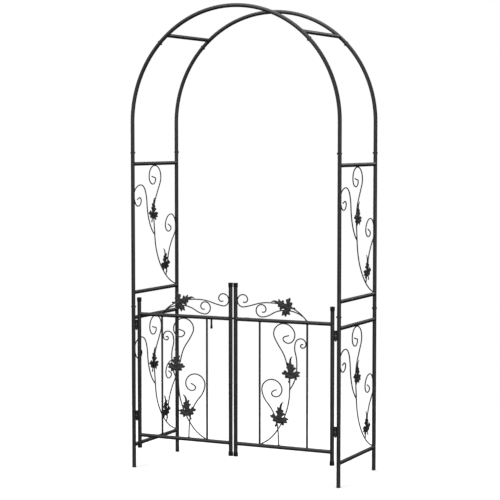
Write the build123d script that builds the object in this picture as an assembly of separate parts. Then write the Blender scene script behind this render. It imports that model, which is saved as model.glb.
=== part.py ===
from build123d import *
import math
import os

# A garden arch of black steel tube with a pair of low gates, wire scrolls and cast leaves.
# Sizes are in millimetres. X runs across the walkway, Y from front to back and Z up.
# The origin is on the ground in the middle of the arch's outer box, and the gates hang
# in the plane of the front posts.

# Frame
walkway_spacing = 1030  # centre to centre of the posts across the walkway
depth_spacing = 423  # centre to centre of the front and back posts
springing_height = 1604  # where the posts bend into the half circle
frame_tube = 18
tube_wall = 1.2
rung_tube = 17.5
lowest_rung_height = 107
rung_gap = 117  # between the two rungs at the joint of the lower and upper posts
panel_height = 594  # between the rungs below and above one wire panel
purlin_angle = 49.4  # up from the springing line

# Joints of the frame: a swaged spigot held by one bolt
lower_joint_height = 752
upper_joint_height = 1463.5
arch_joint_angle = 44.1
spigot_half_length = 25
shoulder_length = 2
spigot_clearance = 0.15
bolt_diameter = 5
bolt_hole_clearance = 0.2
bolt_head_diameter = 9
bolt_head_height = 2.2
bolt_tip = 0.6
nut_across_flats = 8
nut_height = 3
nut_air = 0.05  # under a nut, where the arch's tube curves towards it
thread_clearance = 0.05

# Feet
foot_flange = 2
foot_plug_length = 18
plug_clearance = 0.1

# Gates
hinge_gap = 13  # between a post and the gate's hinge stile
meeting_gap = 7  # between the two meeting stiles
hinge_stile_bottom = 95
hinge_stile_top = 797
meeting_stile_bottom = 96
meeting_stile_top = 883
rail_tube = 17
top_rail_height = 720
bottom_rail_height = 155.6
picket_diameter = 9
picket_inset = 120  # from a stile's centre to the picket next to it
cap_diameter = 22
cap_height = 20
cap_top = 3
cap_bead_height = 6
cap_bead_step = 0.5
cap_round = 2
cap_clearance = 0.1

# Hinges: a pin on the stile drops into a knuckle on the post
lower_hinge_height = 246
upper_hinge_height = 670
knuckle_length = 22
knuckle_air = 0.7  # between a knuckle and the tube that turns past it
knuckle_gap = 0.4
pin_diameter = 6
pin_running_clearance = 0.06
pin_end = 4
weld_width = 5

# Latch: a round bolt slides behind the top rails
latch_rod = 9
latch_height = 720
latch_air = 1.5  # between the bolt and the stiles' backs
latch_reach = 111  # from the middle of the gate to the bolt's end on the right leaf
latch_handle_reach = 117  # from the middle of the gate to the handle on the left leaf
latch_handle_bottom = 671
latch_bend = 10
guide_places = (40, 88)  # from the middle of the gate, on the left leaf
guide_length = 14
guide_clearance = 0.3
guide_bite = 0.3  # how far a guide's wall is notched over the rail
keeper_place = 62
keeper_length = 16
keeper_wall = 2
keeper_clearance = 1.2
keeper_depth = 8
latch_cap_wall = 0.8
latch_cap_length = 14
latch_cap_end = 3
latch_cap_clearance = 0.05

# Wire scrolls and leaves
wire_diameter = 5.5
leaf_thickness = 3

# The scrolls are bent to a drawing, and stretched if the frame's openings differ from it.
drawn_panel_depth = 405  # clear between the posts
drawn_panel_height = 576.5  # clear between the rungs
drawn_stile_spacing = 471.5  # between the stiles' centres of one leaf
drawn_rail_clear = 547.2  # between the rails

# What follows from the sizes above
arch_radius = walkway_spacing / 2
tube_radius = frame_tube / 2
bore_radius = tube_radius - tube_wall
spigot_radius = bore_radius - spigot_clearance
rung_radius = rung_tube / 2
rail_radius = rail_tube / 2
cap_radius = cap_diameter / 2
wire_radius = wire_diameter / 2
bolt_radius = bolt_diameter / 2
pin_radius = pin_diameter / 2
front_y = (cap_radius - tube_radius - depth_spacing) / 2
back_y = front_y + depth_spacing
hinge_x = arch_radius - tube_radius - hinge_gap / 2
hinge_stile_x = hinge_x - hinge_gap / 2 - tube_radius
meeting_stile_x = meeting_gap / 2 + tube_radius
spigot_half_angle = math.degrees(spigot_half_length / arch_radius)
lower_seam = lower_joint_height - spigot_half_length
upper_seam = upper_joint_height - spigot_half_length
arch_seam_angle = arch_joint_angle - spigot_half_angle
panel_bottoms = {
    "lower": lowest_rung_height,
    "upper": lowest_rung_height + panel_height + rung_gap,
}
latch_y = front_y + tube_radius + latch_air + latch_rod / 2

FRONT_TO_BACK = {"front": front_y, "back": back_y}


def bar(start, end, radius):
    """A solid round bar between two points."""
    start = Vector(*start)
    end = Vector(*end)
    length = (end - start).length
    return Plane(origin=(start + end) * 0.5, z_dir=end - start) * Cylinder(radius, length)


def tube(start, end, radius, wall=tube_wall):
    """A round tube between two points."""
    return bar(start, end, radius) - bar(start, end, radius - wall)


def arch_place(angle, y):
    """The point on an arch's centre line at an angle up from the right-hand springing."""
    turn = math.radians(angle)
    return Vector(
        arch_radius * math.cos(turn), y, springing_height + arch_radius * math.sin(turn)
    )


def arch_section(section, angle_from, angle_to, y):
    """A section drawn about the tube's centre, carried round the arch between two angles."""
    centre = Axis((0, y, springing_height), (0, -1, 0))
    springing = Plane(origin=(arch_radius, y, springing_height), z_dir=(0, 0, 1))
    piece = revolve(springing * section, axis=centre, revolution_arc=angle_to - angle_from)
    return piece.rotate(centre, angle_from)


def across_arch(angle, y, length):
    """A bolt hole along the arch's radius, through the tube."""
    outward = Vector(math.cos(math.radians(angle)), 0, math.sin(math.radians(angle)))
    middle = arch_place(angle, y)
    half = outward * (length / 2)
    return bar(middle - half, middle + half, bolt_radius + bolt_hole_clearance)


def across_post(x, y, height):
    """A bolt hole across a post, along X."""
    return bar(
        (x - frame_tube, y, height), (x + frame_tube, y, height), bolt_radius + bolt_hole_clearance
    )


def spigot_post(y, bottom, seam):
    """A right-hand post's tube with the swaged spigot at its top."""
    x = arch_radius
    spigot_bore = spigot_radius - tube_wall
    body = tube((x, y, bottom), (x, y, seam), tube_radius)
    shoulder = tube(
        (x, y, seam - shoulder_length), (x, y, seam), tube_radius, tube_radius - spigot_bore
    )
    spigot = tube(
        (x, y, seam - shoulder_length), (x, y, seam + 2 * spigot_half_length), spigot_radius
    )
    return body + shoulder + spigot - across_post(x, y, seam + spigot_half_length)


def lower_post(y):
    return spigot_post(y, foot_flange, lower_seam)


def upper_post(y):
    return spigot_post(y, lower_seam, upper_seam) - across_post(
        arch_radius, y, lower_joint_height
    )


def arch_side(y):
    """The tube from the upper post to the crown: straight, then bent, with a spigot."""
    x = arch_radius
    spigot_bore = spigot_radius - tube_wall
    shoulder_angle = math.degrees(shoulder_length / arch_radius)
    ring = Circle(tube_radius) - Circle(bore_radius)
    shoulder_ring = Circle(tube_radius) - Circle(spigot_bore)
    spigot_ring = Circle(spigot_radius) - Circle(spigot_bore)
    spigot_end = arch_joint_angle + spigot_half_angle
    side = tube((x, y, upper_seam), (x, y, springing_height), tube_radius)
    side += arch_section(ring, 0, arch_seam_angle - shoulder_angle, y)
    side += arch_section(shoulder_ring, arch_seam_angle - shoulder_angle, arch_seam_angle, y)
    side += arch_section(spigot_ring, arch_seam_angle, spigot_end, y)
    side -= across_post(x, y, upper_joint_height)
    return side - across_arch(arch_joint_angle, y, 2 * frame_tube)


def arch_crown(y):
    """The bent tube over the middle of the walkway."""
    ring = Circle(tube_radius) - Circle(bore_radius)
    crown = arch_section(ring, arch_seam_angle, 180 - arch_seam_angle, y)
    for angle in (arch_joint_angle, 180 - arch_joint_angle):
        crown -= across_arch(angle, y, 2 * frame_tube)
    return crown


def purlin():
    """The tube welded between the front and back crowns, notched round both."""
    piece = tube(
        arch_place(purlin_angle, front_y), arch_place(purlin_angle, back_y), rung_radius
    )
    for y in (front_y, back_y):
        piece -= arch_section(Circle(tube_radius), purlin_angle - 5, purlin_angle + 5, y)
    return piece


def front_and_back_posts(height):
    """The posts' outer cylinders on the right, which what is welded to them is cut by."""
    x = arch_radius
    return [bar((x, y, 0), (x, y, height), tube_radius) for y in (front_y, back_y)]


def rung(height):
    """The tube welded between a front and a back post, notched round both."""
    x = arch_radius
    piece = tube((x, front_y, height), (x, back_y, height), rung_radius)
    for post in front_and_back_posts(upper_joint_height):
        piece -= post
    return piece


def foot_plug(y):
    """The plastic plug in a post's foot: a flange under the tube and a plug inside it."""
    x = arch_radius
    flange = fillet(
        Cylinder(tube_radius, foot_flange, align=(Align.CENTER, Align.CENTER, Align.MIN))
        .edges()
        .group_by(Axis.Z)[0],
        foot_flange / 4,
    )
    plug = Cylinder(
        bore_radius - plug_clearance,
        foot_plug_length,
        align=(Align.CENTER, Align.CENTER, Align.MIN),
    )
    return Pos(x, y, 0) * (flange + plug)


def joint_bolt():
    """A button-head bolt along Z through the tube's centre, with its head on top."""
    head = Pos(0, 0, tube_radius) * Cylinder(
        bolt_head_diameter / 2,
        bolt_head_height,
        align=(Align.CENTER, Align.CENTER, Align.MIN),
    )
    head = fillet(head.edges().group_by(Axis.Z)[-1], bolt_head_height * 0.8)
    reach = tube_radius + nut_air + nut_height + bolt_tip
    shank = bar((0, 0, -reach), (0, 0, tube_radius), bolt_radius)
    return head + shank


def joint_nut():
    """The hexagon nut on the far side of the tube."""
    hexagon = RegularPolygon(nut_across_flats / 2, 6, major_radius=False)
    nut = Pos(0, 0, -tube_radius - nut_air - nut_height) * extrude(hexagon, nut_height)
    return nut - Cylinder(bolt_radius + thread_clearance, 4 * frame_tube)


def joint_planes():
    """Each bolted joint on the right half: its place and the way its bolt head faces."""
    planes = []
    for y in (front_y, back_y):
        for height in (lower_joint_height, upper_joint_height):
            planes.append(Plane(origin=(arch_radius, y, height), z_dir=(1, 0, 0)))
        turn = math.radians(arch_joint_angle)
        outward = (math.cos(turn), 0, math.sin(turn))
        planes.append(Plane(origin=arch_place(arch_joint_angle, y), z_dir=outward))
    return planes


def bent_wire(points, heading):
    """A round wire in the XY plane, bent in arcs that pass smoothly through the points."""
    turn = math.radians(heading)
    direction = Vector(math.cos(turn), math.sin(turn), 0)
    arcs = []
    for start, end in zip(points, points[1:]):
        arc = TangentArc(start, end, tangent=direction)
        direction = arc % 1
        arcs.append(arc)
    path = Wire(arcs)
    section = Plane(origin=path @ 0, x_dir=(0, 0, -1), z_dir=path % 0) * Circle(wire_radius)
    return sweep(section, path=path)


def stretched_wire(points, heading, across, up):
    """The wire of a drawing whose points and heading are stretched across and up."""
    turn = math.radians(heading)
    stretched = math.degrees(math.atan2(up * math.sin(turn), across * math.cos(turn)))
    return bent_wire([(x * across, y * up) for x, y in points], stretched)


def cut_by(piece, others):
    """The piece less everything it is welded against."""
    for other in others:
        piece = piece - other
    return piece


def welded(wires, others):
    """Wires cut by the tubes they meet, and each by the wires before it, without crumbs."""
    done = []
    for wire in wires:
        cut = cut_by(wire, others + done)
        done.extend(piece for piece in cut.solids() if piece.volume > wire_diameter**3)
    return done


def panel_scroll(bottom):
    """The three wires of the right-hand side panel between two rungs.

    The points are from the middle of the panel and up from its lower rung.
    """
    across = (depth_spacing - frame_tube) / drawn_panel_depth
    up = (panel_height - rung_tube) / drawn_panel_height
    stem = stretched_wire(
        [
            (204, -1), (110, 43), (30, 131), (-5, 238), (-15, 324), (8, 430), (47, 493),
            (32, 564), (-27, 571), (-58, 521), (-21, 488), (4, 508), (-4, 519), (-33, 525),
        ],
        166, across, up,
    )
    front_branch = stretched_wire(
        [
            (-5, 248), (-53, 303), (-80, 400), (-95, 458), (-144, 487), (-187, 470),
            (-201, 436), (-188, 402), (-162, 389), (-135, 410), (-153, 427), (-171, 420),
        ],
        145, across, up,
    )
    back_branch = stretched_wire(
        [
            (104, 53), (122, 130), (148, 193), (184, 239), (201, 285), (182, 328),
            (155, 340), (99, 298), (119, 260), (151, 267), (149, 281), (125, 293),
        ],
        77, across, up,
    )
    middle_y = (front_y + back_y) / 2
    panel = Plane(
        origin=(arch_radius, middle_y, bottom + rung_radius), x_dir=(0, 1, 0), z_dir=(1, 0, 0)
    )
    wires = [panel * wire for wire in (stem, front_branch, back_branch)]
    x = arch_radius
    rungs = [
        bar((x, front_y, height), (x, back_y, height), rung_radius)
        for height in (bottom, bottom + panel_height)
    ]
    return welded(wires, rungs + front_and_back_posts(upper_joint_height))


def leaf():
    """A cast leaf with three lobes and a long tip, flat on the XY plane and tip upwards."""
    outline = Polyline(
        (12, 71), (-9, 51), (-17, 29), (-9, 16), (-21, 19), (-42, 10), (-35, -7),
        (-21, -10), (-14, -23), (-21, -35), (-4, -23), (11, -27), (29, -14), (38, 5),
        (22, 10), (11, 8), (21, 24), (12, 36), (7, 48), (12, 71),
    )
    return extrude(make_face(outline), leaf_thickness)


def leaf_on(plane, x, y, turn):
    """A leaf on a panel's outer side, touching the wires behind it."""
    return plane * Pos(x, y, wire_radius) * Rot(0, 0, turn) * leaf()


def panel_leaves(bottom):
    """The two leaves on the outer side of a right-hand side panel."""
    across = (depth_spacing - frame_tube) / drawn_panel_depth
    up = (panel_height - rung_tube) / drawn_panel_height
    panel = Plane(
        origin=(arch_radius, (front_y + back_y) / 2, bottom + rung_radius),
        x_dir=(0, 1, 0),
        z_dir=(1, 0, 0),
    )
    return [
        leaf_on(panel, -10 * across, 353 * up, 0),
        leaf_on(panel, 106 * across, 105 * up, 0),
    ]


def leaf_stretch():
    """How far the gate's drawing is stretched across one leaf and up between its rails."""
    across = (hinge_stile_x - meeting_stile_x) / drawn_stile_spacing
    up = (top_rail_height - bottom_rail_height - rail_tube) / drawn_rail_clear
    return across, up


def gate_plane(height):
    """The plane of the gates seen from the front, from the right leaf's meeting stile."""
    return Plane(
        origin=(meeting_stile_x, front_y, height), x_dir=(1, 0, 0), z_dir=(0, -1, 0)
    )


def gate_bars():
    """The outer cylinders of the right leaf's tubes and pickets, which wires are cut by."""
    y = front_y
    bars = [
        bar((x, y, hinge_stile_bottom), (x, y, meeting_stile_top), tube_radius)
        for x in (hinge_stile_x, meeting_stile_x)
    ]
    for height in (top_rail_height, bottom_rail_height):
        bars.append(bar((meeting_stile_x, y, height), (hinge_stile_x, y, height), rail_radius))
    return bars + [picket_bar(x) for x in picket_places()]


def picket_places():
    return (meeting_stile_x + picket_inset, hinge_stile_x - picket_inset)


def picket_bar(x):
    return bar(
        (x, front_y, bottom_rail_height), (x, front_y, top_rail_height), picket_diameter / 2
    )


def pickets():
    """The two plain rods of the right leaf, notched round its rails."""
    rails = gate_bars()[2:4]
    return [cut_by(picket_bar(x), rails) for x in picket_places()]


def stile(x, bottom, top):
    """A stile's tube, from inside its bottom cap to inside its top cap."""
    return tube((x, front_y, bottom + cap_top), (x, front_y, top - cap_top), tube_radius)


def rail(height):
    """A rail's tube, notched round both stiles."""
    piece = tube(
        (meeting_stile_x, front_y, height), (hinge_stile_x, front_y, height), rail_radius
    )
    return cut_by(piece, gate_bars()[:2])


def gate_scroll():
    """The right leaf's wires: a main stem, its branch and a side stem.

    The points are from the meeting stile's centre and up from the lower rail.
    """
    across, up = leaf_stretch()
    main_stem = stretched_wire(
        [
            (128.5, 1), (193.5, 50), (244.5, 136), (266.5, 236), (267.5, 298), (261.5, 334),
            (251.5, 371), (224.5, 431), (193.5, 481), (198.5, 528), (245.5, 546),
            (288.5, 513), (276.5, 466), (236.5, 472), (241.5, 488), (262.5, 494),
        ],
        23.4, across, up,
    )
    branch = stretched_wire(
        [
            (267.5, 254), (290.5, 294), (300.5, 336), (301.5, 376), (294.5, 417),
            (294.5, 464), (322.5, 483), (345.5, 460), (329.5, 442), (319.5, 450),
            (331.5, 456),
        ],
        52, across, up,
    )
    side_stem = stretched_wire(
        [
            (213.5, -1), (208.5, 81), (192.5, 136), (156.5, 189), (131.5, 239),
            (148.5, 283), (180.5, 294), (226.5, 264), (217.5, 224), (183.5, 222),
            (182.5, 239), (202.5, 249),
        ],
        90, across, up,
    )
    plane = gate_plane(bottom_rail_height + rail_radius)
    wires = [plane * wire for wire in (main_stem, branch, side_stem)]
    return welded(wires, gate_bars())


def gate_crest():
    """The two wires that stand on the right leaf's top rail.

    The points are from the meeting stile's centre and up from the top rail.
    """
    across, _ = leaf_stretch()
    upper_wire = stretched_wire(
        [
            (348.5, 0), (299.5, 42), (225.5, 68), (160.5, 72), (97.5, 62), (42.5, 48),
            (9.5, 78), (38.5, 103), (59.5, 86), (50.5, 69), (37.5, 70),
        ],
        130, across, 1,
    )
    lower_wire = stretched_wire(
        [
            (330.5, 17), (309.5, 29), (236.5, 41), (178.5, 22), (133.5, 7), (102.5, 37),
            (125.5, 62), (150.5, 46), (144.5, 30), (131.5, 30),
        ],
        143.6, across, 1,
    )
    plane = gate_plane(top_rail_height + rail_radius)
    return welded([plane * upper_wire, plane * lower_wire], gate_bars())


def gate_leaves():
    """The two leaves on the right leaf's scroll, and the one on its crest."""
    across, up = leaf_stretch()
    plane = gate_plane(bottom_rail_height + rail_radius)
    crest_plane = gate_plane(top_rail_height + rail_radius)
    return [
        leaf_on(plane, 217.5 * across, 121 * up, 0),
        leaf_on(plane, 275.5 * across, 326 * up, 5),
        leaf_on(crest_plane, 255.5 * across, 56, 62),
    ]


def end_cap(x, height, upwards):
    """The plastic cap over a stile's end, with its closed end at the height given."""
    top = (Align.CENTER, Align.CENTER, Align.MAX)
    skirt = Cylinder(cap_radius - cap_bead_step, cap_height, align=top)
    bead = Cylinder(cap_radius, cap_bead_height, align=top)
    shell = fillet((skirt + bead).edges().group_by(Axis.Z)[-1], cap_round)
    bore = Pos(0, 0, -cap_top) * Cylinder(tube_radius + cap_clearance, cap_height, align=top)
    facing = 1 if upwards else -1
    place = Plane(origin=(x, front_y, height), z_dir=(0, 0, facing))
    return place * (shell - bore)


def gate_caps():
    return [
        end_cap(hinge_stile_x, hinge_stile_top, True),
        end_cap(hinge_stile_x, hinge_stile_bottom, False),
        end_cap(meeting_stile_x, meeting_stile_top, True),
        end_cap(meeting_stile_x, meeting_stile_bottom, False),
    ]


def knuckle(low, high, bore, tube_x):
    """A hinge knuckle between two heights, with the weld that holds it to a tube."""
    radius = hinge_gap / 2 - knuckle_air
    barrel = bar((hinge_x, front_y, low), (hinge_x, front_y, high), radius)
    middle = (hinge_x + tube_x) / 2
    weld = Pos(middle, front_y, (low + high) / 2) * Box(
        abs(tube_x - hinge_x), weld_width, high - low - 2
    )
    hole = bar((hinge_x, front_y, low), (hinge_x, front_y, high), bore)
    welded_tube = bar((tube_x, front_y, low), (tube_x, front_y, high), tube_radius)
    return barrel + weld - hole - welded_tube


def fixed_knuckles():
    """The knuckles welded to the right-hand front post."""
    bore = pin_radius + pin_running_clearance
    return [
        knuckle(height - knuckle_length, height, bore, arch_radius)
        for height in (lower_hinge_height, upper_hinge_height)
    ]


def turning_knuckles():
    """The knuckles welded to the right leaf's hinge stile, which hold the pins."""
    knuckles = []
    for height in (lower_hinge_height, upper_hinge_height):
        low = height + knuckle_gap
        knuckles.append(knuckle(low, low + knuckle_length, pin_radius, hinge_stile_x))
    return knuckles


def hinge_pins():
    """The right leaf's two pins, each with its bare end below the post's knuckle."""
    pins = []
    for height in (lower_hinge_height, upper_hinge_height):
        low = height - knuckle_length - pin_end
        high = height + knuckle_gap + knuckle_length
        pin = bar((hinge_x, front_y, low), (hinge_x, front_y, high), pin_radius)
        pins.append(chamfer(pin.edges().group_by(Axis.Z)[0], pin_radius / 4))
    return pins


def latch_bolt():
    """The sliding bolt with its handle bent down, seen from the front as an L."""
    path = FilletPolyline(
        (latch_reach, latch_height),
        (-latch_handle_reach, latch_height),
        (-latch_handle_reach, latch_handle_bottom),
        radius=latch_bend,
    )
    rod = sweep(
        Plane(origin=path @ 0, z_dir=path % 0) * Circle(latch_rod / 2), path=path
    )
    return Plane(origin=(0, latch_y, 0), x_dir=(1, 0, 0), z_dir=(0, -1, 0)) * rod


def latch_cap(end, outward):
    """The plastic cap on an end of the latch bolt."""
    bottom = (Align.CENTER, Align.CENTER, Align.MAX)
    bore_radius = latch_rod / 2 + latch_cap_clearance
    shell = Cylinder(bore_radius + latch_cap_wall, latch_cap_length, align=bottom)
    shell = fillet(shell.edges().group_by(Axis.Z)[-1], latch_cap_end / 2)
    bore = Pos(0, 0, -latch_cap_end) * Cylinder(bore_radius, latch_cap_length, align=bottom)
    tip = Vector(*end) + Vector(*outward) * latch_cap_end
    return Plane(origin=tip, z_dir=outward) * (shell - bore)


def latch_caps():
    return [
        latch_cap((latch_reach, latch_y, latch_height), (1, 0, 0)),
        latch_cap((-latch_handle_reach, latch_y, latch_handle_bottom), (0, 0, -1)),
    ]


def latch_guides():
    """The two rings on the back of the left leaf's top rail, which the bolt slides in."""
    rail_bar = bar(
        (-hinge_stile_x, front_y, top_rail_height),
        (-meeting_stile_x, front_y, top_rail_height),
        rail_radius,
    )
    apart = math.hypot(latch_y - front_y, latch_height - top_rail_height)
    radius = apart - rail_radius + guide_bite
    bore = latch_rod / 2 + guide_clearance
    guides = []
    for place in guide_places:
        start = (-place - guide_length / 2, latch_y, latch_height)
        end = (-place + guide_length / 2, latch_y, latch_height)
        guides.append(tube(start, end, radius, radius - bore) - rail_bar)
    return guides


def latch_keeper():
    """The channel on the back of the right leaf's top rail, open to the back."""
    rail_bar = gate_bars()[2]
    inside = latch_rod + 2 * keeper_clearance
    height = inside + 2 * keeper_wall
    front = latch_y - latch_rod / 2 - keeper_clearance - keeper_wall
    depth = keeper_wall + keeper_depth
    low = (Align.CENTER, Align.MIN, Align.CENTER)
    block = Pos(keeper_place, front, latch_height) * Box(keeper_length, depth, height, align=low)
    channel = Pos(keeper_place, front + keeper_wall, latch_height) * Box(
        2 * keeper_length, depth, inside, align=low
    )
    return block - channel - rail_bar


def left_of(piece):
    """The left-hand twin of a right-hand piece."""
    return mirror(piece, about=Plane.YZ)


def both_sides(pieces):
    return pieces + [left_of(piece) for piece in pieces]


nodes = {}


def add_pair(name, piece):
    """A right-hand piece and its left-hand twin, as two nodes; name holds a gap for the side."""
    pieces = piece if isinstance(piece, list) else [piece]
    nodes[name.format("right")] = pieces
    nodes[name.format("left")] = [left_of(one) for one in pieces]


for where, y in FRONT_TO_BACK.items():
    add_pair("lower_post_{}_" + where, lower_post(y))
    add_pair("upper_post_{}_" + where, upper_post(y))
    add_pair("arch_side_{}_" + where, arch_side(y))
    nodes["arch_crown_" + where] = [arch_crown(y)]
add_pair("purlin_{}", purlin())
for level, bottom in panel_bottoms.items():
    add_pair(level + "_panel_bottom_rung_{}", rung(bottom))
    add_pair(level + "_panel_top_rung_{}", rung(bottom + panel_height))
    add_pair(level + "_panel_scroll_{}", panel_scroll(bottom))
add_pair(
    "panel_leaves_{}", [leaf for bottom in panel_bottoms.values() for leaf in panel_leaves(bottom)]
)
nodes["foot_plugs"] = both_sides([foot_plug(y) for y in FRONT_TO_BACK.values()])
nodes["joint_bolts"] = both_sides([plane * joint_bolt() for plane in joint_planes()])
nodes["joint_nuts"] = both_sides([plane * joint_nut() for plane in joint_planes()])

add_pair("gate_hinge_stile_{}", stile(hinge_stile_x, hinge_stile_bottom, hinge_stile_top))
add_pair(
    "gate_meeting_stile_{}", stile(meeting_stile_x, meeting_stile_bottom, meeting_stile_top)
)
add_pair("gate_top_rail_{}", rail(top_rail_height))
add_pair("gate_bottom_rail_{}", rail(bottom_rail_height))
add_pair("gate_pickets_{}", pickets())
add_pair("gate_scroll_{}", gate_scroll())
add_pair("gate_crest_{}", gate_crest())
add_pair("gate_leaves_{}", gate_leaves())
add_pair("gate_caps_{}", gate_caps())
add_pair("hinge_turning_knuckles_{}", turning_knuckles())
add_pair("hinge_pins_{}", hinge_pins())
nodes["hinge_post_knuckles"] = both_sides(fixed_knuckles())
nodes["latch_bolt"] = [latch_bolt()]
nodes["latch_caps"] = latch_caps()
nodes["latch_guides"] = latch_guides()
nodes["latch_keeper"] = [latch_keeper()]

os.makedirs("parts", exist_ok=True)
for name, pieces in nodes.items():
    solids = [solid for piece in pieces for solid in piece.solids()]
    export_step(Compound(solids), f"parts/{name}.step")
    volume = sum(solid.volume for solid in solids)
    print(f"{name}: {len(solids)} solids, {volume / 1000:.1f} cm3")
print(len(nodes), "nodes")
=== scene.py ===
import math

import bpy
from mathutils import Matrix, Vector


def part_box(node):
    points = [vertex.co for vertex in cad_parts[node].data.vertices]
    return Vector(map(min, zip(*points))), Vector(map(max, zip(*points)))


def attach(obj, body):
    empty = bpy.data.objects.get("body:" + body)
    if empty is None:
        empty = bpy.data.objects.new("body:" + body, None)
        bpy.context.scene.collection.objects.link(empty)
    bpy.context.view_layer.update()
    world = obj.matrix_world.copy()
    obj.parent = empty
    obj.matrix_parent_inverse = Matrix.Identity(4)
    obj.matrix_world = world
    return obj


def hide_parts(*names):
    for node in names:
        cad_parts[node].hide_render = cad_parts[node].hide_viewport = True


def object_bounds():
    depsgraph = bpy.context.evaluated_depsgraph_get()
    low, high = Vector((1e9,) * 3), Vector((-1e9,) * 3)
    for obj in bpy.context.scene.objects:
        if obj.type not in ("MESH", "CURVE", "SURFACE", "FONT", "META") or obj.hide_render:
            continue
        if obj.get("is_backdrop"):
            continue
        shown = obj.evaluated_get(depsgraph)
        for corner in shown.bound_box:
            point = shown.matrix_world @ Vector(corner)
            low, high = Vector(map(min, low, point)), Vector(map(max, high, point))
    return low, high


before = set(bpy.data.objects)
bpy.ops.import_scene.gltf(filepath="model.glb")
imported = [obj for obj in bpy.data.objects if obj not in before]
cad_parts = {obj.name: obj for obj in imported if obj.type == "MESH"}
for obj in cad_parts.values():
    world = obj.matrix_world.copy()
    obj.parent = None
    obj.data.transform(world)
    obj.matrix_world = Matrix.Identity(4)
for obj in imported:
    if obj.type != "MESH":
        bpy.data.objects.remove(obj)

cad_low, cad_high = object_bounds()
MM = 0.001

# ---------------------------------------------------------------------------------------------
# The arch itself: posts, bent hoop pieces, purlins and rungs of 18 mm steel tube.
# They are cut, bent, coped and welded, then powder coated satin black before they are bolted up.
# ---------------------------------------------------------------------------------------------


class Amount:
    """A number, colour or vector in a finish. Arithmetic on a number adds Math nodes."""

    def __init__(self, finish, socket):
        self.finish = finish
        self.socket = socket

    def reckon(self, operation, first, second):
        return self.finish.node("Math", {"operation": operation}, {0: first, 1: second})

    def __add__(self, other):
        return self.reckon("ADD", self, other)

    def __sub__(self, other):
        return self.reckon("SUBTRACT", self, other)

    def __rsub__(self, other):
        return self.reckon("SUBTRACT", other, self)

    def __mul__(self, other):
        return self.reckon("MULTIPLY", self, other)

    def __abs__(self):
        return self.reckon("ABSOLUTE", self, 0)

    __radd__ = __add__
    __rmul__ = __mul__

    def sine(self):
        return self.reckon("SINE", self, 0)

    def most(self, other):
        return self.reckon("MAXIMUM", self, other)

    def rise(self, start, end):
        """0 below start, 1 above end, and a smooth rise between them."""
        settings = {"interpolation_type": "SMOOTHSTEP"}
        return self.finish.node(
            "MapRange", settings, {"Value": self, "From Min": start, "From Max": end}
        )


class Finish:
    """A paint, plastic or metal, made up of nodes. upward is 1 where a face looks straight up."""

    def __init__(self, name, **constants):
        self.material = bpy.data.materials.new(name)
        self.material.use_nodes = True
        self.nodes = self.material.node_tree.nodes
        self.links = self.material.node_tree.links
        self.shader = self.nodes["Principled BSDF"]
        self.place = self.node("TexCoord", output="Object")
        facing = self.node("NewGeometry", output="Normal")
        self.upward = self.node("SeparateXYZ", {}, {0: facing}, 2)
        for socket, value in constants.items():
            self.shader.inputs[socket.replace("_", " ")].default_value = value

    def node(self, kind, settings=None, inputs=None, output=0):
        node = self.nodes.new("ShaderNode" + kind)
        for key, value in (settings or {}).items():
            setattr(node, key, value)
        for key, value in (inputs or {}).items():
            self.feed(node.inputs[key], value)
        return Amount(self, node.outputs[output])

    def feed(self, socket, value):
        if isinstance(value, Amount):
            self.links.new(value.socket, socket)
        else:
            socket.default_value = value

    def set(self, **values):
        for socket, value in values.items():
            self.feed(self.shader.inputs[socket.replace("_", " ")], value)

    def noise(self, scale, detail, place=None, roughness=0.5):
        inputs = {"Vector": place or self.place, "Scale": scale, "Detail": detail}
        inputs["Roughness"] = roughness
        return self.node("TexNoise", {}, inputs)

    def stretched(self, scale):
        """The place, stretched by scale on each axis."""
        return self.node("Mapping", {}, {"Vector": self.place, "Scale": scale})

    def along(self, axis):
        """The place along the X, Y or Z axis, in metres."""
        return self.node("SeparateXYZ", {}, {0: self.place}, "XYZ".index(axis))

    def blend(self, share, first, second):
        """A colour from first to second as share goes from 0 to 1."""
        inputs = {0: share, 6: first, 7: second}
        return self.node("Mix", {"data_type": "RGBA", "clamp_factor": True}, inputs, 2)

    def relief(self, height, depth):
        """A bump of that depth in metres."""
        inputs = {"Height": height, "Distance": depth, "Strength": 1.0}
        self.set(Normal=self.node("Bump", {}, inputs))


PAINT_BLACK = (0.0085, 0.0085, 0.009, 1)
PAINT_GREY = (0.0135, 0.0135, 0.014, 1)
DUST = (0.085, 0.078, 0.068, 1)
BARE_STEEL = (0.33, 0.32, 0.31, 1)
SPLASH_HEIGHT = 0.16  # metres up from the ground that rain throws soil
RIPPLE_DEPTH = 0.05 * MM


def powder_coat(name, gloss=0.42):
    """Satin black powder coat: soft clouding, the ripple of melted powder, and a little dust."""
    coat = Finish(name, Specular_IOR_Level=0.4)
    cloud = coat.noise(scale=7, detail=4)
    ripple = coat.noise(scale=520, detail=1)
    grain = coat.noise(scale=2400, detail=2)
    settled = coat.upward.rise(0.45, 0.98) * coat.noise(scale=34, detail=5).rise(0.34, 0.72)
    low_down = 1 - coat.along("Z").rise(0.0, SPLASH_HEIGHT)
    splash = low_down * coat.noise(scale=95, detail=6, roughness=0.65).rise(0.47, 0.72)
    dusty = (settled * 0.34).most(splash * 0.42)
    tone = coat.blend(cloud.rise(0.3, 0.75), PAINT_BLACK, PAINT_GREY)
    coat.set(
        Base_Color=coat.blend(dusty, tone, DUST),
        Roughness=gloss + cloud * 0.1 + grain * 0.05 + dusty * 0.5,
    )
    coat.relief(ripple * 0.8 + grain * 0.2, RIPPLE_DEPTH)
    return coat


def repaint(node, finish):
    """Gives a carried-over node its finish."""
    mesh_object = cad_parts[node]
    if not mesh_object.material_slots:
        mesh_object.data.materials.append(finish.material)
    for slot in mesh_object.material_slots:
        slot.material = finish.material


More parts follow.
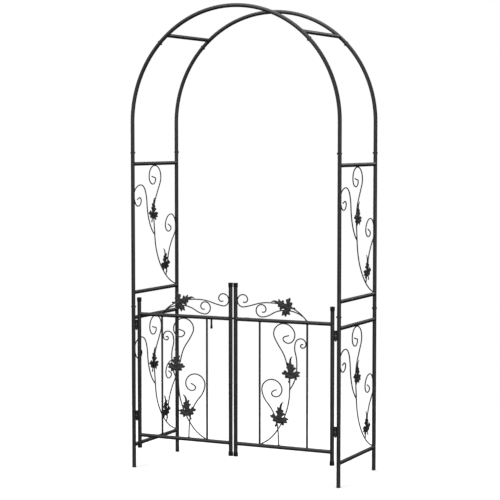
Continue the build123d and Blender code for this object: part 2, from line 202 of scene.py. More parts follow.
frame_paint = powder_coat("frame_powder_coat")
SIDES = ("right", "left")
ENDS = ("front", "back")
for side in SIDES:
    for end in ENDS:
        repaint(f"lower_post_{side}_{end}", frame_paint)
        repaint(f"upper_post_{side}_{end}", frame_paint)
        repaint(f"arch_side_{side}_{end}", frame_paint)
    for level in ("lower", "upper"):
        repaint(f"{level}_panel_bottom_rung_{side}", frame_paint)
        repaint(f"{level}_panel_top_rung_{side}", frame_paint)
    repaint(f"purlin_{side}", frame_paint)
for end in ENDS:
    repaint(f"arch_crown_{end}", frame_paint)

# ---------------------------------------------------------------------------------------------
# The plugs in the feet: soft black plastic, pressed into the four posts so that the cut tube
# doesn't scratch what it stands on. Each has a thin flange with a rounded edge and a dished foot.
# ---------------------------------------------------------------------------------------------


def pick(*pieces):
    """Selects these pieces alone and makes the first one active."""
    bpy.ops.object.select_all(action="DESELECT")
    for piece in pieces:
        piece.select_set(True)
    bpy.context.view_layer.objects.active = pieces[0]


def edit(piece):
    """Goes into edit mode on piece alone."""
    pick(piece)
    bpy.ops.object.mode_set(mode="EDIT")


def leave():
    bpy.ops.object.mode_set(mode="OBJECT")
    bpy.ops.object.select_all(action="DESELECT")


def apply_all(piece):
    """Applies the piece's modifiers."""
    pick(piece)
    for modifier in list(piece.modifiers):
        bpy.ops.object.modifier_apply(modifier=modifier.name)
    piece.select_set(False)


def turned(name, outline, steps=40):
    """A solid of revolution about Z. outline is (radius, height) in mm, once round its section."""
    bpy.ops.object.select_all(action="DESELECT")
    bpy.ops.mesh.primitive_circle_add(vertices=len(outline), radius=1)
    piece = bpy.context.object
    piece.name = name
    for vertex, (radius, height) in zip(piece.data.vertices, outline):
        vertex.co = (radius * MM, 0, height * MM)
    edit(piece)
    bpy.ops.mesh.select_all(action="SELECT")
    bpy.ops.mesh.spin(
        steps=steps, angle=2 * math.pi, center=(0, 0, 0), axis=(0, 0, 1), use_auto_merge=False
    )
    bpy.ops.mesh.select_all(action="SELECT")
    bpy.ops.mesh.remove_doubles(threshold=1e-6)
    bpy.ops.mesh.dissolve_degenerate(threshold=1e-6)
    bpy.ops.mesh.delete_loose()
    bpy.ops.mesh.select_all(action="SELECT")
    bpy.ops.mesh.normals_make_consistent(inside=False)
    leave()
    smooth(piece)
    return piece


def smooth(piece, angle=32):
    """Shades the piece smooth, apart from edges sharper than the angle in degrees."""
    pick(piece)
    bpy.ops.object.shade_smooth_by_angle(angle=math.radians(angle))
    piece.select_set(False)


def copy_to(pattern, name, place):
    """A copy of the pattern with its own mesh, put at place, a matrix."""
    piece = bpy.data.objects.new(name, pattern.data.copy())
    bpy.context.scene.collection.objects.link(piece)
    piece.data.transform(place)
    if place.determinant() < 0:
        piece.data.flip_normals()
    return piece


def discard(pattern):
    bpy.data.objects.remove(pattern)


def fit(piece, body, slot, finish, *stands_for):
    """Paints a new piece and fixes it to its body."""
    piece.data.materials.clear()
    piece.data.materials.append(finish.material)
    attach(piece, body)
    if stands_for:
        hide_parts(*stands_for)


PLASTIC_BLACK = (0.0022, 0.0022, 0.0024, 1)
PLASTIC_GREY = (0.0045, 0.0045, 0.0048, 1)
SCUFFED = (0.03, 0.03, 0.029, 1)


def moulded_plastic(name, grain_scale):
    """Black moulded plastic: a fine spark-eroded grain, with scuffs where it is handled."""
    plastic = Finish(name, Specular_IOR_Level=0.22)
    grain = plastic.noise(grain_scale, detail=3)
    scuff = plastic.noise(scale=160, detail=6, roughness=0.7).rise(0.56, 0.74)
    blotches = plastic.noise(scale=260, detail=4).rise(0.4, 0.7)
    settled = plastic.upward.rise(0.5, 0.95) * blotches * 0.25
    black = plastic.blend(plastic.noise(scale=40, detail=2), PLASTIC_BLACK, PLASTIC_GREY)
    worn = plastic.blend(scuff * 0.2, black, SCUFFED)
    plastic.set(
        Base_Color=plastic.blend(settled, worn, DUST),
        Roughness=0.48 + grain * 0.12 + scuff * 0.14 + settled * 0.4,
    )
    plastic.relief(grain, 0.05 * MM)
    return plastic


TUBE_RADIUS = 9.0


def post_middle(side, end):
    """Where a post stands, across and deep, in metres."""
    low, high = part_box(f"lower_post_{side}_{end}")
    across = low.x + TUBE_RADIUS * MM if side == "left" else high.x - TUBE_RADIUS * MM
    deep = low.y + TUBE_RADIUS * MM if end == "front" else high.y - TUBE_RADIUS * MM
    return across, deep


foot_plastic = moulded_plastic("foot_plastic", grain_scale=3800)
FOOT_FLANGE = 2.0
foot_outline = [
    (0, 0.7), (5.4, 0.6), (6.4, 0), (8.3, 0), (8.8, 0.3), (9, 0.9), (9, 1.6), (8.85, FOOT_FLANGE),
    (7.65, FOOT_FLANGE), (7.65, 5), (7.2, 5.5), (7.65, 6), (7.65, 9), (7.2, 9.5), (7.65, 10),
    (7.65, 14), (6.6, 19), (5.6, 19), (5.6, 3), (0, 3),
]
foot = turned("foot_pattern", foot_outline)
for side in SIDES:
    for end in ENDS:
        place = Matrix.Translation((*post_middle(side, end), cad_low.z))
        plug = copy_to(foot, f"foot_plug_{side}_{end}", place)
        fit(plug, "arch", "cap_plastic", foot_plastic, "foot_plugs")
discard(foot)

# ---------------------------------------------------------------------------------------------
# The joint bolts: M5 button heads with a hexagon socket, black oxide, one through each spigot.
# The heads are outside the arch, and plain hexagon nuts with chamfered corners are inside.
# ---------------------------------------------------------------------------------------------
JOINT_HEIGHTS = (752.0, 1463.5)
SPRINGING_HEIGHT = 1604.0
HOOP_RADIUS = 515.0
HOOP_JOINT_ANGLES = (44.1, 135.9)
HEAD_SEAT = 9.0
NUT_SEAT = 9.05
NUT_HEIGHT = 3.0
THREAD_CREST, THREAD_ROOT, THREAD_PITCH, THREAD_TURNS = 2.45, 2.1, 0.8, 4
THREAD_FROM, BOLT_END = -9.4, -12.65
OXIDE_DARK = (0.014, 0.013, 0.0125, 1)
OXIDE_BROWN = (0.034, 0.031, 0.03, 1)
OXIDE_WORN = (0.11, 0.1, 0.095, 1)


def black_oxide(name):
    """Oiled black oxide on steel: a brown cast, darker and lighter blooms, and worn crests."""
    steel = Finish(name, Specular_IOR_Level=0.5)
    bloom = steel.noise(scale=240, detail=5)
    tooling = steel.noise(scale=2200, detail=3)
    rubbed = steel.noise(scale=700, detail=5, roughness=0.7).rise(0.6, 0.75)
    tone = steel.blend(bloom, OXIDE_DARK, OXIDE_BROWN)
    steel.set(
        Base_Color=steel.blend(rubbed * 0.25, tone, OXIDE_WORN),
        Metallic=0.25 + rubbed * 0.5,
        Roughness=0.34 + bloom * 0.2 + tooling * 0.06,
    )
    steel.relief(tooling, 0.03 * MM)
    return steel


def cut_with(piece, tool, operation="DIFFERENCE"):
    """Cuts the piece with the tool, and throws the tool away."""
    cut = piece.modifiers.new("cut", "BOOLEAN")
    cut.operation = operation
    cut.object = tool
    cut.solver = "EXACT"
    apply_all(piece)
    discard(tool)


def hexagon(name, across_flats, depth, height):
    """A hexagonal bar about Z, in mm, that starts at that height."""
    bpy.ops.object.select_all(action="DESELECT")
    bpy.ops.mesh.primitive_cylinder_add(
        vertices=6, radius=across_flats / math.sqrt(3) * MM, depth=depth * MM,
        location=(0, 0, (height + depth / 2) * MM),
    )
    piece = bpy.context.object
    piece.name = name
    bpy.ops.object.transform_apply(location=True, rotation=False, scale=False)
    return piece


fastener_steel = black_oxide("black_oxide")
thread = []
for turn in range(THREAD_TURNS):
    crest_height = THREAD_FROM - turn * THREAD_PITCH
    thread += [(THREAD_CREST, crest_height), (THREAD_ROOT, crest_height - THREAD_PITCH / 2)]
bolt_outline = [(0, 11.2), (1.9, 11.15), (3.1, 10.75), (4.05, 10.1), (4.45, 9.45), (4.5, 9.2)]
bolt_outline += [(4.4, HEAD_SEAT), (THREAD_CREST, HEAD_SEAT)]
bolt_outline += thread + [(1.8, BOLT_END), (0, BOLT_END)]
bolt = turned("bolt_pattern", bolt_outline, steps=36)
cut_with(bolt, hexagon("socket", across_flats=3, depth=3, height=9.9))
smooth(bolt, angle=28)
nut_foot = -NUT_SEAT - NUT_HEIGHT
nut = hexagon("nut_pattern", across_flats=8, depth=NUT_HEIGHT, height=nut_foot)
nut_corners = [(0, 0), (3.9, 0), (4.75, 0.5), (4.75, 2.5), (3.9, 3), (0, 3)]
corners = turned("corners", nut_corners, steps=48)
corners.data.transform(Matrix.Translation((0, 0, nut_foot * MM)))
cut_with(nut, corners, "INTERSECT")
nut_bore = [(0, -1), (3.2, -1), (2.55, 0.4), (2.55, 2.6), (3.2, 4), (0, 4)]
bore = turned("bore", nut_bore, steps=32)
bore.data.transform(Matrix.Translation((0, 0, nut_foot * MM)))
cut_with(nut, bore)
smooth(nut, angle=25)
for end in ENDS:
    deep = post_middle("right", end)[1]
    joints = []
    for side, heading in (("right", 0), ("left", 180)):
        across = HOOP_RADIUS if side == "right" else -HOOP_RADIUS
        for level, height in zip(("lower", "upper"), JOINT_HEIGHTS):
            joints.append((f"{side}_{end}_{level}", across, height, heading))
    for side, angle in zip(SIDES, HOOP_JOINT_ANGLES):
        out = Vector((math.cos(math.radians(angle)), math.sin(math.radians(angle))))
        height = SPRINGING_HEIGHT + out.y * HOOP_RADIUS
        joints.append((f"{side}_{end}_hoop", out.x * HOOP_RADIUS, height, angle))
    for name, across, height, heading in joints:
        outward = Matrix.Rotation(math.radians(90 - heading), 4, "Y")
        place = Matrix.Translation((across * MM, deep, height * MM)) @ outward
        fit(copy_to(bolt, f"bolt_{name}", place), "arch", "fastener", fastener_steel, "joint_bolts")
        fit(copy_to(nut, f"nut_{name}", place), "arch", "fastener", fastener_steel, "joint_nuts")
discard(bolt)
discard(nut)

# ---------------------------------------------------------------------------------------------
# The side panels: scrolls of 5.5 mm round wire, bent on a jig and tacked to the posts and rungs.
# They are coated together with the frame, in the same satin black.
# ---------------------------------------------------------------------------------------------
wire_paint = powder_coat("wire_powder_coat", gloss=0.44)
for side in SIDES:
    for level in ("lower", "upper"):
        repaint(f"{level}_panel_scroll_{side}", wire_paint)

# ---------------------------------------------------------------------------------------------
# The welds on the arch: a fillet run round both ends of each rung and purlin where it's coped to
# a tube, and short tacks that hold the scroll wires. They are coated over with the frame.
# ---------------------------------------------------------------------------------------------
BEAD_RADIUS = 1.1
BEAD_STANDS_OUT = 0.2
RIPPLES_PER_MM = 3
TACK_WIDTH, TACK_DEPTH = 3.1, 2.5


def weld_ring(name, branch, main):
    """A weld round a tube along Z, coped on to a tube along X, with both radii in mm.

    It's flush at the sides, where two tubes of nearly the same size run into each other."""
    bpy.ops.object.select_all(action="DESELECT")
    bpy.ops.mesh.primitive_torus_add(
        major_segments=120, minor_segments=8, major_radius=branch * MM, minor_radius=BEAD_RADIUS * MM
    )
    ring = bpy.context.object
    ring.name = name
    for vertex in ring.data.vertices:
        turn = math.atan2(vertex.co.y, vertex.co.x)
        flush = (branch / main) ** 4 * math.sin(turn) ** 2
        outward = Vector((math.cos(turn), math.sin(turn), 0)) * MM
        section = vertex.co - outward * branch
        centre = outward * (branch + BEAD_STANDS_OUT - 0.5 * flush)
        ripple = 1 + 0.13 * math.sin(int(branch * RIPPLES_PER_MM) * turn)
        ripple += 0.1 * math.sin(3 * turn + 1)
        saddle = math.sqrt(max(0, main**2 - (centre.y / MM) ** 2))
        vertex.co = centre + section * ripple * (1 - 0.6 * flush) + Vector((0, 0, saddle * MM))
    smooth(ring, angle=60)
    return ring


def weld_tack(name, half_length):
    """A lumpy blob of weld, long along Z. half_length is in mm."""
    bpy.ops.object.select_all(action="DESELECT")
    bpy.ops.mesh.primitive_uv_sphere_add(segments=24, ring_count=20, radius=MM)
    tack = bpy.context.object
    tack.name = name
    edit(tack)
    bpy.ops.mesh.select_all(action="SELECT")
    bpy.ops.transform.resize(value=(TACK_WIDTH, TACK_DEPTH, half_length))
    leave()
    for vertex in tack.data.vertices:
        waves = math.sin(vertex.co.z / MM * 2.4) * 0.1 + math.sin(vertex.co.x / MM * 1.7 + 1) * 0.07
        vertex.co *= 1 + waves
    smooth(tack, angle=60)
    return tack


def along_axes(where, length_axis, cross_axis):
    """A matrix that puts Z along length_axis and X along cross_axis, at where in mm."""
    upright, across = Vector(length_axis).normalized(), Vector(cross_axis).normalized()
    turned_axes = Matrix((across, upright.cross(across), upright)).transposed().to_4x4()
    return Matrix.Translation(Vector(where) * MM) @ turned_axes


def join_all(name, pieces):
    """Joins the pieces into the first one."""
    pick(*pieces)
    bpy.ops.object.join()
    pieces[0].name = name
    pieces[0].select_set(False)
    return pieces[0]


RUNG_RADIUS = 8.75
RUNG_HEIGHTS = (107, 701, 818, 1412)
PURLIN_ANGLE = 49.4
# Where the wires touch a post, a rung or one another: how far back and how high.
POST_TACKS = [(-201.5, 554.9), (203.5, 396.9), (-201.5, 1265.6), (203.4, 1107.6)]
RUNG_TACKS = [(197.2, 115.8), (-3.1, 692.2), (197.2, 826.7), (-2.1, 1403.2)]
WIRE_TACKS = [(-7.1, 366.4), (102.3, 169.1), (-7.0, 1077.4), (102.7, 879.9)]
rung_ring = weld_ring("rung_ring", RUNG_RADIUS, TUBE_RADIUS)
long_tack = weld_tack("long_tack", half_length=6.5)
short_tack = weld_tack("short_tack", half_length=3.6)
UPWARD, SIDEWAYS, INWARD = (0, 0, 1), (1, 0, 0), (0, 1, 0)
arch_tacks = [
    (long_tack, UPWARD, POST_TACKS), (long_tack, INWARD, RUNG_TACKS), (short_tack, UPWARD, WIRE_TACKS),
]
arch_welds = []
for side, sign in (("right", 1), ("left", -1)):
    for end, away in (("front", (0, 1, 0)), ("back", (0, -1, 0))):
        y = post_middle("right", end)[1] / MM
        for z in RUNG_HEIGHTS:
            where = along_axes((sign * HOOP_RADIUS, y, z), away, UPWARD)
            arch_welds.append(copy_to(rung_ring, f"weld_rung_{side}_{end}_{z}", where))
        angle = math.radians(PURLIN_ANGLE)
        out = Vector((sign * math.cos(angle), 0, math.sin(angle)))
        hoop = Vector((0, y, SPRINGING_HEIGHT)) + out * HOOP_RADIUS
        where = along_axes(hoop, away, (out.z, 0, -out.x))
        arch_welds.append(copy_to(rung_ring, f"weld_purlin_{side}_{end}", where))
    for tack, axis, spots in arch_tacks:
        for y, z in spots:
            where = along_axes((sign * HOOP_RADIUS, y, z), axis, SIDEWAYS)
            arch_welds.append(copy_to(tack, f"weld_tack_{side}_{y}_{z}", where))
fit(join_all("welds_arch", arch_welds), "arch", "frame_paint", frame_paint)
discard(rung_ring)

# ---------------------------------------------------------------------------------------------
# The cast leaves: thin iron castings of a vine leaf, with raised veins and a curled tip, brazed to
# the front of the gate wires and the outer side of the panel wires. Sand casting leaves them rough.
# ---------------------------------------------------------------------------------------------
# The leaf's edge once round, from its tip: how far across and how far up, in mm.
LEAF_EDGE = [
    (18, 75), (12.5, 69.5), (10.5, 62), (9, 52), (9.5, 44), (16, 42), (21, 37), (19.5, 33), (15, 30),
    (23, 29), (29, 24), (26, 20), (17, 14), (11.5, 5), (20, 10), (31, 11), (38, 7.5), (45, 6),
    (46, 1.5), (38, -3), (36, -5), (42, -10), (41, -15), (34, -16), (26, -16), (26, -25), (22, -29.5),
    (16, -26), (12, -20), (3, -22), (-5, -21), (-7, -29), (-11, -38), (-17, -39), (-19, -33),
    (-14, -25), (-15, -17), (-26, -17), (-32, -13), (-31, -7), (-27, -2), (-37, -1), (-45, 5),
    (-44, 11), (-36, 12), (-33, 18), (-27, 20.5), (-21, 17), (-15, 9), (-9, 19), (-18, 27), (-20, 32),
    (-15, 35), (-9, 36), (-13, 46), (-13, 52.5), (-8, 53), (-3, 47), (-1, 56), (2, 66), (8, 73.5),
    (15, 77.5), (18.5, 77.5),
]
LEAF_HEART = (0, -14)
# Each vein's root and end, and how thick it is at each, in mm.
VEINS = [
    ((0, -20), (3, 40), 2.2, 1.3), ((3, 40), (6, 62), 1.4, 0.9), ((6, 62), (15, 75), 1.0, 0.5),
    ((0, -14), (42, 2), 1.9, 0.6), ((0, -14), (-41, 7), 1.9, 0.6), ((0, -14), (22, -25), 1.6, 0.6),
    ((0, -14), (-15, -36), 1.6, 0.6), ((0.6, 0), (25, 23), 1.5, 0.5), ((0.6, 0), (-16, 31), 1.5, 0.5),
    ((1.8, 18), (18, 37), 1.3, 0.5), ((2.2, 24), (-10, 50), 1.3, 0.5),
    ((14, -8.7), (38, -12), 1.2, 0.5), ((-15, -6.3), (-29, -12), 1.2, 0.5),
    ((-20, -3.8), (-29, 16), 1.2, 0.5), ((18, -7.1), (30, 8), 1.2, 0.5),
]
BLADE_THICKNESS = 2.0
CASTING_GRAIN = 0.75  # how fine the casting's surface is modelled
CROWN, LOBE_WAVE, TIP_CURL = 2.6, 0.9, 1.6
HALF_WIDTH, HALF_LENGTH, MIDDLE_UP = 42, 60, 8
CURL_FROM, CURL_LENGTH = 48, 23
SITS_PROUD = 0.3
MAP_SCALE = 10  # map units a metre
VEINLETS = 190
LEAF_BLACK = (0.012, 0.012, 0.0125, 1)
LEAF_GREY = (0.022, 0.022, 0.0225, 1)
leaf_paint = Finish("cast_leaf_paint", Specular_IOR_Level=0.45)
sand = leaf_paint.noise(scale=900, detail=4, roughness=0.6)
pores = leaf_paint.noise(scale=3200, detail=2).rise(0.62, 0.8)
patch = leaf_paint.noise(scale=45, detail=4)
across_leaf = leaf_paint.node("SeparateXYZ", {}, {0: leaf_paint.node("UVMap")}, 0)
up_leaf = leaf_paint.node("SeparateXYZ", {}, {0: leaf_paint.node("UVMap")}, 1)
fine_veins = ((up_leaf - abs(across_leaf) * 0.8) * VEINLETS + patch * 4).sine().rise(0.45, 1.0)
settled_on_leaf = leaf_paint.upward.rise(0.25, 0.9) * patch.rise(0.35, 0.7) * 0.3
leaf_tone = leaf_paint.blend(patch.rise(0.3, 0.7), LEAF_BLACK, LEAF_GREY)
leaf_paint.set(
    Base_Color=leaf_paint.blend(settled_on_leaf, leaf_tone, DUST),
    Roughness=0.46 + sand * 0.12 + pores * 0.1 + settled_on_leaf * 0.4,
)
leaf_paint.relief(sand * 0.55 + fine_veins * 0.5 - pores * 0.35, 0.22 * MM)

bpy.ops.object.select_all(action="DESELECT")
bpy.ops.mesh.primitive_circle_add(vertices=len(LEAF_EDGE), radius=50 * MM, fill_type="NGON")
leaf = bpy.context.object
leaf.name = "leaf_pattern"
for vertex, (across, up) in zip(leaf.data.vertices, LEAF_EDGE):
    vertex.co = (across * MM, 0, up * MM)
edit(leaf)
bpy.ops.mesh.select_all(action="SELECT")
bpy.ops.mesh.quads_convert_to_tris(ngon_method="CLIP")
bpy.ops.mesh.extrude_region_move(TRANSFORM_OT_translate={"value": (0, -BLADE_THICKNESS * MM, 0)})
bpy.ops.mesh.select_all(action="SELECT")
bpy.ops.mesh.normals_make_consistent(inside=False)
leave()
parts = [leaf]
for start, end, thick, thin in VEINS:
    run = Vector((end[0] - start[0], 0, end[1] - start[1]))
    middle = Vector(((start[0] + end[0]) / 2, -BLADE_THICKNESS, (start[1] + end[1]) / 2))
    bpy.ops.mesh.primitive_cone_add(
        vertices=16, radius1=thick * MM, radius2=thin * MM, depth=run.length * MM,
        location=middle * MM, rotation=run.to_track_quat("Z", "Y").to_euler(),
    )
    parts.append(bpy.context.object)
join_all("leaf_pattern", parts)
cast = leaf.modifiers.new("cast", "REMESH")
cast.mode = "VOXEL"
cast.voxel_size = CASTING_GRAIN * MM
soften = leaf.modifiers.new("soften", "SMOOTH")
soften.factor = 0.5
soften.iterations = 3
apply_all(leaf)
pattern_map = leaf.data.uv_layers.new(name="leaf")
for corner in leaf.data.loops:
    place = leaf.data.vertices[corner.vertex_index].co
    pattern_map.data[corner.index].uv = (place.x * MAP_SCALE, place.z * MAP_SCALE)
for vertex in leaf.data.vertices:
    across, up = vertex.co.x / MM, vertex.co.z / MM
    reach = math.hypot(across / HALF_WIDTH, (up - MIDDLE_UP) / HALF_LENGTH)
    turn = math.atan2(up - LEAF_HEART[1], across - LEAF_HEART[0])
    crown = CROWN * max(0, 1 - reach * reach)
    lobes = LOBE_WAVE * math.sin(5 * turn + 0.6) * min(1, reach)
    curl = TIP_CURL * max(0, (up - CURL_FROM) / CURL_LENGTH) ** 2
    vertex.co.y -= (crown + lobes + curl + SITS_PROUD) * MM
for face in leaf.data.polygons:
    face.use_smooth = True

WIRE_RADIUS = 2.75
# How far back, how high and which hand (-1 mirrors it). The gate's also have a lean in degrees.
PANEL_LEAVES = [
    (-9, 461, 1, "lower_high"), (109, 216, -1, "lower_low"),
    (-9, 1172, 1, "upper_high"), (109, 927, -1, "upper_low"),
]
GATE_LEAVES = [
    (230, 285.1, 1, -4, "low"), (288, 488.5, 1, 8, "high"), (268, 784.5, -1, 62, "crest"),
]
MIRROR_ACROSS = Matrix.Scale(-1, 4, SIDEWAYS)
low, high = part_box("gate_scroll_right")
gate_plane = (low.y + high.y) / 2
for back, height, hand, name in PANEL_LEAVES:
    facing = Matrix.Rotation(math.radians(90), 4, "Z") @ Matrix.Scale(hand, 4, SIDEWAYS)
    face = HOOP_RADIUS + WIRE_RADIUS
    place = Matrix.Translation((face * MM, back * MM, height * MM)) @ facing
    piece = copy_to(leaf, f"leaf_panel_right_{name}", place)
    fit(piece, "arch", "cast_leaf", leaf_paint, "panel_leaves_right")
    twin = copy_to(leaf, f"leaf_panel_left_{name}", MIRROR_ACROSS @ place)
    fit(twin, "arch", "cast_leaf", leaf_paint, "panel_leaves_left")
for across, height, hand, lean, name in GATE_LEAVES:
    turn = Matrix.Rotation(math.radians(-lean), 4, "Y") @ Matrix.Scale(hand, 4, SIDEWAYS)
    place = Matrix.Translation((across * MM, gate_plane - WIRE_RADIUS * MM, height * MM)) @ turn
    piece = copy_to(leaf, f"leaf_gate_right_{name}", place)
    fit(piece, "right_gate", "cast_leaf", leaf_paint, "gate_leaves_right")
    twin = copy_to(leaf, f"leaf_gate_left_{name}", MIRROR_ACROSS @ place)
    fit(twin, "left_gate", "cast_leaf", leaf_paint, "gate_leaves_left")
discard(leaf)

# ---------------------------------------------------------------------------------------------
# The gate leaves: stiles of 18 mm tube, rails of 17 mm tube coped between them, and 9 mm round
# pickets with wire scrolls between. They are welded flat on a bench and powder coated.
# ---------------------------------------------------------------------------------------------
gate_paint = powder_coat("gate_powder_coat", gloss=0.41)
for side in SIDES:
    for part in ("hinge_stile", "meeting_stile", "top_rail", "bottom_rail", "pickets"):
        repaint(f"gate_{part}_{side}", gate_paint)
    for part in ("scroll", "crest"):
        repaint(f"gate_{part}_{side}", wire_paint)

# ---------------------------------------------------------------------------------------------
# The welds on the gate leaves: a fillet round each end of the rails and pickets, and tacks where
# the scroll and the crest touch a tube or each other. They are coated over with the leaf.
# ---------------------------------------------------------------------------------------------
RAIL_RADIUS, PICKET_RADIUS = 8.5, 4.5
TOP_RAIL, BOTTOM_RAIL = 720.0, 155.6
STILE_PLACES = ((12.5, 1), (484.0, -1))  # how far across, and which way its rails run
PICKET_PLACES = (132.5, 364.0)
# Where the wires touch a rail, a picket or stile, or one another: how far across and how high.
RAIL_TACKS = [(250.4, 711.5), (142.8, 164.2), (226.3, 164.1), (360.1, 728.5)]
UPRIGHT_TACKS = [(359.5, 624.0), (21.5, 804.6)]
CROSSING_TACKS = [(281.7, 421.6), (222.0, 235.4), (334.5, 751.8)]
rail_ring = weld_ring("rail_ring", RAIL_RADIUS, TUBE_RADIUS)
picket_ring = weld_ring("picket_ring", PICKET_RADIUS, RAIL_RADIUS)
gate_tacks = [
    (long_tack, SIDEWAYS, RAIL_TACKS), (long_tack, UPWARD, UPRIGHT_TACKS),
    (short_tack, UPWARD, CROSSING_TACKS),
]
y = gate_plane / MM
for side, sign in (("right", 1), ("left", -1)):
    gate_welds = []
    for z in (TOP_RAIL, BOTTOM_RAIL):
        for x, inward in STILE_PLACES:
            where = along_axes((sign * x, y, z), (sign * inward, 0, 0), UPWARD)
            gate_welds.append(copy_to(rail_ring, f"weld_rail_{side}_{x}_{z}", where))
    for x in PICKET_PLACES:
        for z, inward in ((TOP_RAIL, -1), (BOTTOM_RAIL, 1)):
            where = along_axes((sign * x, y, z), (0, 0, inward), SIDEWAYS)
            gate_welds.append(copy_to(picket_ring, f"weld_picket_{side}_{x}_{z}", where))
    for tack, axis, spots in gate_tacks:
        for x, z in spots:
            where = along_axes((sign * x, y, z), axis, INWARD)
            gate_welds.append(copy_to(tack, f"weld_tack_{side}_{x}_{z}", where))
    welds = join_all(f"welds_gate_{side}", gate_welds)
    fit(welds, f"{side}_gate", "frame_paint", gate_paint)
for pattern in (rail_ring, picket_ring, long_tack, short_tack):
    discard(pattern)

# ---------------------------------------------------------------------------------------------
# The stile caps: black push-on caps, moulded with a thicker band at the closed end and a thin
# skirt below it. They close both ends of the four stiles.
# ---------------------------------------------------------------------------------------------
cap_plastic = moulded_plastic("cap_plastic", grain_scale=3000)
UPSIDE_DOWN = Matrix.Rotation(math.pi, 4, "X")
cap_outline = [
    (0, 3.0), (5, 2.95), (7.6, 2.8), (9.4, 2.3), (10.5, 1.5), (10.95, 0.4), (11, -0.6), (11, -2.7),
    (10.8, -3.1), (10.5, -3.3), (10.45, -8), (10.4, -16.0), (10.2, -16.8), (9.9, -17), (9.12, -17),
    (9.05, -16.4), (9.05, 0.1), (0, 0.1),
]
cap = turned("cap_pattern", cap_outline, steps=48)
for side, body in (("right", "right_gate"), ("left", "left_gate")):
    for stile in ("hinge", "meeting"):
        low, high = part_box(f"gate_{stile}_stile_{side}")
        outer_stile = (side == "right") == (stile == "hinge")
        across = high.x - TUBE_RADIUS * MM if outer_stile else low.x + TUBE_RADIUS * MM
        top = Matrix.Translation((across, gate_plane, high.z))
        bottom = Matrix.Translation((across, gate_plane, low.z)) @ UPSIDE_DOWN
        for name, place in (("top", top), ("bottom", bottom)):
            piece = copy_to(cap, f"cap_{stile}_{side}_{name}", place)
            fit(piece, body, "cap_plastic", cap_plastic, f"gate_caps_{side}")
discard(cap)

# ---------------------------------------------------------------------------------------------
# The hinges: short tube knuckles welded to post and stile, with a loose steel pin in each pair.
# The coat is rubbed through where the two knuckles bear on each other.
# ---------------------------------------------------------------------------------------------
BEARING_HEIGHTS = (246.2, 670.2)
RUBBED_HALF, RUBBED_FADE = 0.5, 3.2  # how far from where they bear it's bare, and still marked
hinge_paint = powder_coat("hinge_powder_coat", gloss=0.38)
height_on_hinge = hinge_paint.along("Z")
near = []
for level in BEARING_HEIGHTS:
    away = abs(height_on_hinge - level * MM)
    near.append(1 - away.rise(RUBBED_HALF * MM, RUBBED_FADE * MM))
wear = hinge_paint.noise(scale=1300, detail=5, roughness=0.7).rise(0.42, 0.62)
bare = near[0].most(near[1]) * wear
plain = hinge_paint.shader.inputs["Base Color"].links[0].from_socket
hinge_paint.set(
    Base_Color=hinge_paint.blend(bare, Amount(hinge_paint, plain), BARE_STEEL),
    Metallic=bare * 0.9,
)
for side in SIDES:
    repaint(f"hinge_turning_knuckles_{side}", hinge_paint)
    repaint(f"hinge_pins_{side}", hinge_paint)
repaint("hinge_post_knuckles", hinge_paint)

# ---------------------------------------------------------------------------------------------
# The latch: a 9 mm round bolt bent down into a handle, sliding in two rings behind the left top
# rail and shot into a channel behind the right one. Its coat is scratched lengthways by the rings.
# ---------------------------------------------------------------------------------------------
SCRATCHES_BEGIN, SCRATCHES_END = (-0.105, -0.09), (0.066, 0.085)  # along the bolt, in metres
latch_paint = powder_coat("latch_powder_coat", gloss=0.4)
along_bolt = latch_paint.along("X")
swept = along_bolt.rise(*SCRATCHES_BEGIN) * (1 - along_bolt.rise(*SCRATCHES_END))
lengthways = latch_paint.stretched((0.012, 1, 1))
streaks = latch_paint.noise(520, detail=4, place=lengthways, roughness=0.7).rise(0.54, 0.66)
scraped = swept * streaks
plain = latch_paint.shader.inputs["Base Color"].links[0].from_socket
latch_paint.set(
    Base_Color=latch_paint.blend(scraped * 0.6, Amount(latch_paint, plain), BARE_STEEL),
    Metallic=scraped * 0.85,
)
repaint("latch_bolt", latch_paint)
repaint("latch_guides", gate_paint)
repaint("latch_keeper", gate_paint)
latch_cap_outline = [
    (0, 3.0), (2.6, 2.9), (4.2, 2.4), (5.1, 1.5), (5.35, 0.5), (5.35, -10.2), (5.2, -10.8),
    (5.0, -11), (4.6, -11), (4.55, -10.6), (4.55, 0.05), (0, 0.05),
]
latch_cap = turned("latch_cap_pattern", latch_cap_outline, steps=36)
BOLT_RADIUS = 4.5
low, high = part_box("latch_bolt")
bolt_depth = (low.y + high.y) / 2
tip_place = Matrix.Translation((high.x, bolt_depth, high.z - BOLT_RADIUS * MM))
tip_place = tip_place @ Matrix.Rotation(math.radians(90), 4, "Y")
grip_place = Matrix.Translation((low.x + BOLT_RADIUS * MM, bolt_depth, low.z))
grip_place = grip_place @ UPSIDE_DOWN
for name, place in (("tip", tip_place), ("handle", grip_place)):
    piece = copy_to(latch_cap, f"latch_cap_{name}", place)
    fit(piece, "latch", "cap_plastic", cap_plastic, "latch_caps")
discard(latch_cap)

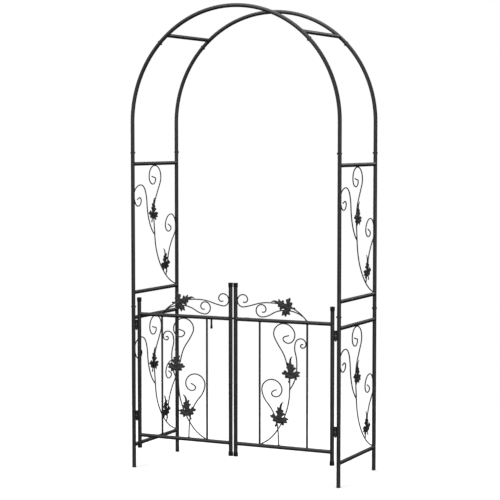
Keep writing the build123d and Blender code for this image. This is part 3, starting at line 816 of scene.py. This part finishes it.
# ---------------------------------------------------------------------------------------------
# The studio: a pale floor that fades into a white surround, broad soft boxes, and the camera.
# ---------------------------------------------------------------------------------------------
FLOOR_RADIUS, FADE_FROM, FADE_TO = 9, 0.9, 3.4
FLOOR_GREY = (0.9, 0.9, 0.9, 1)
FLOOR_WHITE = (0.92, 0.92, 0.92, 1)
CAMERA_AZIMUTH, CAMERA_PITCH = 25.7706, 3.9043
CAMERA_DISTANCE, CAMERA_LENS = 7.4583, 116.62
CAMERA_TARGET = Vector((-17.73, 1.0, 1016.62)) * MM
LIT_POINT = Vector((0, 0, 1.05))
scene = bpy.context.scene
scene.view_settings.view_transform = "Standard"
bpy.ops.object.select_all(action="DESELECT")
bpy.ops.mesh.primitive_circle_add(
    vertices=96, radius=FLOOR_RADIUS, fill_type="NGON", location=(0, 0, cad_low.z)
)
floor = bpy.context.object
floor.name = "studio_floor"
pale = Finish("studio_floor", Specular_IOR_Level=0.1)
distance = pale.node("VectorMath", {"operation": "LENGTH"}, {0: pale.place}, 1)
pale.set(
    Base_Color=pale.blend(pale.noise(scale=3, detail=3), FLOOR_GREY, FLOOR_WHITE),
    Roughness=0.9,
    Alpha=1 - distance.rise(FADE_FROM, FADE_TO),
)
floor.data.materials.append(pale.material)
floor.visible_glossy = False
floor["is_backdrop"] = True

world = bpy.data.worlds.new("studio_surround")
scene.world = world
world.use_nodes = True
surround = world.node_tree.nodes["Background"]
surround.inputs["Color"].default_value = (1, 1, 1, 1)
surround.inputs["Strength"].default_value = 1.0
world.cycles_visibility.glossy = False
world.cycles_visibility.diffuse = False


def away_from(azimuth, elevation):
    """The direction that is azimuth degrees round from the front and elevation degrees up."""
    turn, tilt = math.radians(azimuth), math.radians(elevation)
    return Vector((math.sin(turn) * math.cos(tilt), -math.cos(turn) * math.cos(tilt), math.sin(tilt)))


def soft_box(name, azimuth, elevation, distance, width, height, watts):
    """A soft light that faces the middle of the arch. Distance and sizes are in metres."""
    data = bpy.data.lights.new(name, "AREA")
    data.shape = "RECTANGLE"
    data.size = width
    data.size_y = height
    data.energy = watts
    box = bpy.data.objects.new(name, data)
    scene.collection.objects.link(box)
    away = away_from(azimuth, elevation)
    box.location = LIT_POINT + away * distance
    box.rotation_euler = away.to_track_quat("Z", "Y").to_euler()
    box.visible_camera = False


soft_box("front_box", CAMERA_AZIMUTH + 30, 3, 6.5, width=3.6, height=3.0, watts=210)
soft_box("left_front_box", -CAMERA_AZIMUTH, 26, 6.5, width=2.6, height=2.6, watts=260)
soft_box("right_rear_box", 180 - CAMERA_AZIMUTH, 26, 6.5, width=2.6, height=2.6, watts=105)
soft_box("left_rear_box", 200 + CAMERA_AZIMUTH, 10, 6.5, width=3.0, height=3.0, watts=160)
soft_box("roof_box", CAMERA_AZIMUTH, 86, 4.2, width=4.0, height=4.0, watts=290)

camera_data = bpy.data.cameras.new("camera")
camera = bpy.data.objects.new("camera", camera_data)
scene.collection.objects.link(camera)
scene.camera = camera
camera_data.sensor_width = 36
camera_data.lens = CAMERA_LENS
camera_data.clip_start = 0.1
camera_data.clip_end = 100
back = away_from(CAMERA_AZIMUTH, CAMERA_PITCH)
camera.location = CAMERA_TARGET + back * CAMERA_DISTANCE
camera.rotation_mode = "QUATERNION"
camera.rotation_quaternion = (-back).to_track_quat("-Z", "Y")

low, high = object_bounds()
